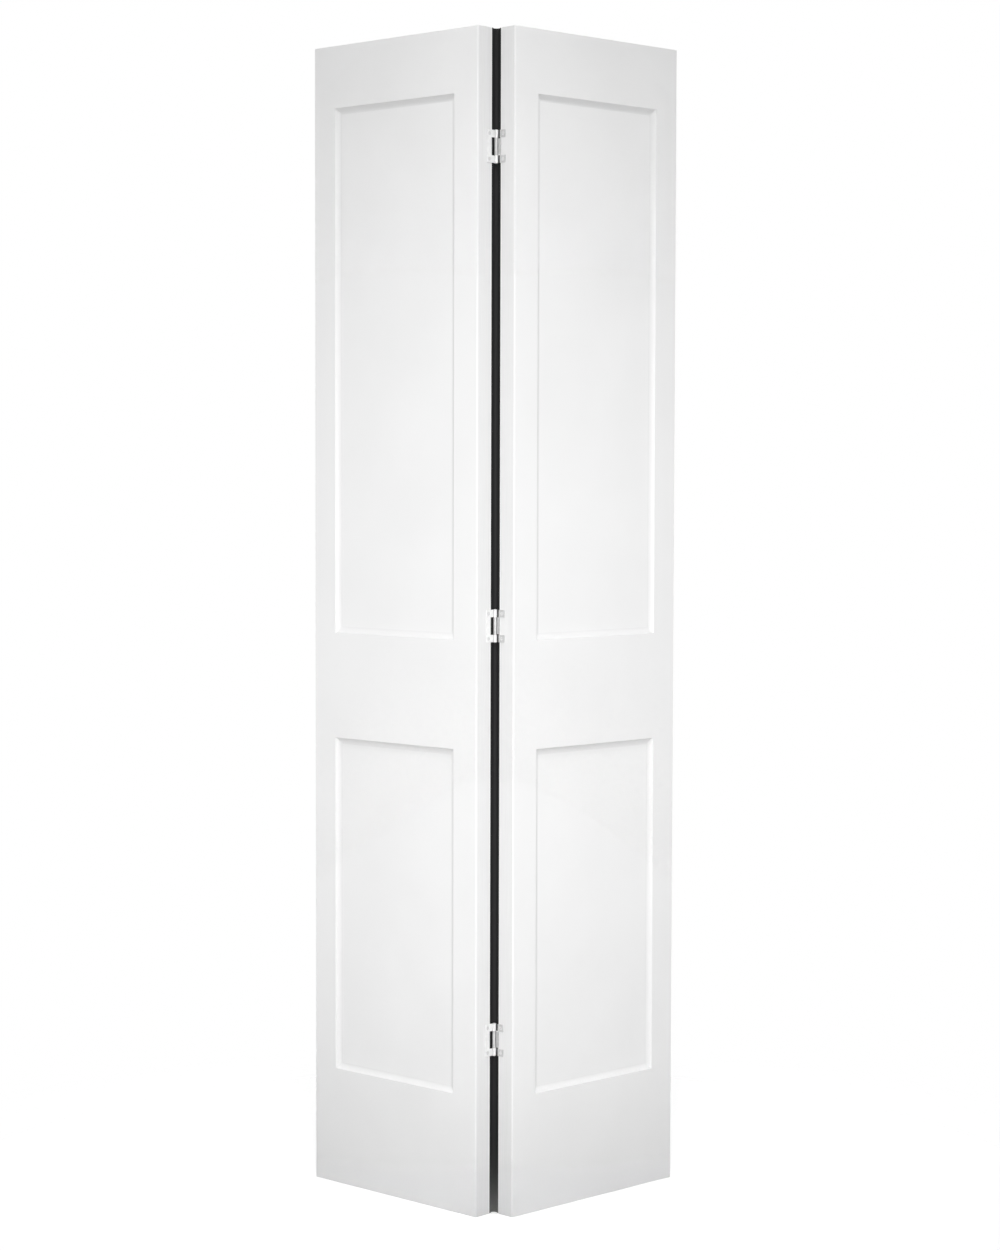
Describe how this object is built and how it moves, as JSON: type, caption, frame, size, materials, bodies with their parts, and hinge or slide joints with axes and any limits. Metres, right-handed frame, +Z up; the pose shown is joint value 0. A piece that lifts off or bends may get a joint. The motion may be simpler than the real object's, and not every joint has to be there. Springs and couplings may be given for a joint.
{
  "type": "bifold closet door",
  "caption": "Bifold closet door: two moulded panelled leaves joined edge to edge by barrel hinges, folding flat back to back or shut in one plane.",
  "frame": {"origin": "centre of the half-folded door's footprint on the floor", "axes": "+Z up along the leaves, -Y towards the room and the hinge line's ridge, +X to the right as seen from the room"},
  "size_m": [0.6376, 0.3008, 2.007],
  "materials": {
    "moulded_skin": "moulded hardboard skin with smooth white primer",
    "frame_wood": "sawn softwood, edges primed white",
    "panel_core": "raw paper filler board",
    "hinge_plate": "bright zinc plate",
    "pin_and_screws": "zinc-plated steel",
    "gap_seal": "matt black extruded rubber"
  },
  "bodies": {
    "left_leaf": {"left_front_skin": "moulded_skin", "left_back_skin": "moulded_skin", "left_hinge_stile": "frame_wood", "left_outer_stile": "frame_wood", "left_top_pivot_block": "frame_wood", "left_bottom_pivot_block": "frame_wood", "left_top_rail": "frame_wood", "left_lock_rail": "frame_wood", "left_bottom_rail": "frame_wood", "left_upper_core": "panel_core", "left_lower_core": "panel_core", "bottom_hinge_left_plate": "hinge_plate", "bottom_hinge_pin": "pin_and_screws", "bottom_hinge_left_lower_screw": "pin_and_screws", "bottom_hinge_left_upper_screw": "pin_and_screws", "middle_hinge_left_plate": "hinge_plate", "middle_hinge_pin": "pin_and_screws", "middle_hinge_left_lower_screw": "pin_and_screws", "middle_hinge_left_upper_screw": "pin_and_screws", "top_hinge_left_plate": "hinge_plate", "top_hinge_pin": "pin_and_screws", "top_hinge_left_lower_screw": "pin_and_screws", "top_hinge_left_upper_screw": "pin_and_screws", "gap_seal": "gap_seal"},
    "right_leaf": {"right_front_skin": "moulded_skin", "right_back_skin": "moulded_skin", "right_hinge_stile": "frame_wood", "right_outer_stile": "frame_wood", "right_top_pivot_block": "frame_wood", "right_top_rail": "frame_wood", "right_lock_rail": "frame_wood", "right_bottom_rail": "frame_wood", "right_upper_core": "panel_core", "right_lower_core": "panel_core", "bottom_hinge_right_plate": "hinge_plate", "bottom_hinge_right_lower_screw": "pin_and_screws", "bottom_hinge_right_upper_screw": "pin_and_screws", "middle_hinge_right_plate": "hinge_plate", "middle_hinge_right_lower_screw": "pin_and_screws", "middle_hinge_right_upper_screw": "pin_and_screws", "top_hinge_right_plate": "hinge_plate", "top_hinge_right_lower_screw": "pin_and_screws", "top_hinge_right_upper_screw": "pin_and_screws"}
  },
  "joints": [
    {"name": "fold", "type": "hinge", "parent": "left_leaf", "child": "right_leaf", "pos_m": [0, -0.12029, 0], "axis": [0, 0, 1], "range_deg": [-87.6, 92.4]}
  ]
}
